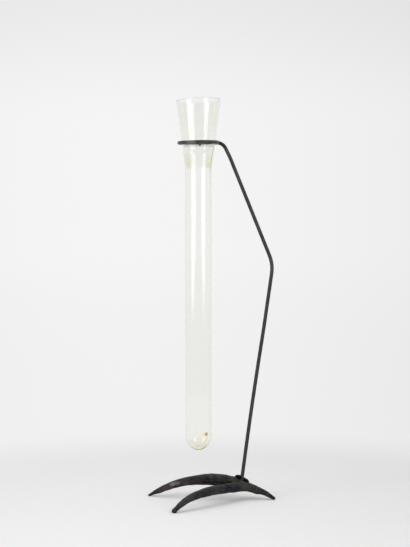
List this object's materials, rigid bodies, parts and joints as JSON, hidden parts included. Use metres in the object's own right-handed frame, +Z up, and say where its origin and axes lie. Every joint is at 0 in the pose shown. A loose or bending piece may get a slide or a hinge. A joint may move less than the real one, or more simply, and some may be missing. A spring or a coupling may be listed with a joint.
{
  "type": "bud vase",
  "caption": "Glass tube vase with a funnel mouth and a round bottom, hung in the ring of a bent iron rod on a forged bird's-foot stand.",
  "frame": {"origin": "middle of the outer box, on the surface that the toes stand on", "axes": "+Z up, +X from the tube to the rod's elbow, +Y to the back, so that the front toe reaches towards -Y"},
  "size_m": [0.1298, 0.0918, 0.402],
  "materials": {
    "glass": "clear, smooth, faintly green, with dried water stains",
    "forged_iron": "forged, blackened and waxed, satin",
    "rod_iron": "blackened round rod, satin",
    "weld_metal": "rough black weld"
  },
  "bodies": {
    "stand": {"stem_rod": "rod_iron", "rear_toe": "forged_iron", "front_toe": "forged_iron", "back_toe": "forged_iron", "toe_weld": "weld_metal", "left_stem_weld": "weld_metal", "right_stem_weld": "weld_metal", "ring_tack_weld": "weld_metal"},
    "tube": {"glass_tube": "glass"}
  },
  "joints": [
    {"name": "tube_lift", "type": "slide", "parent": "stand", "child": "tube", "axis": [0, 0, 1], "range_m": [0, 0.33]}
  ]
}
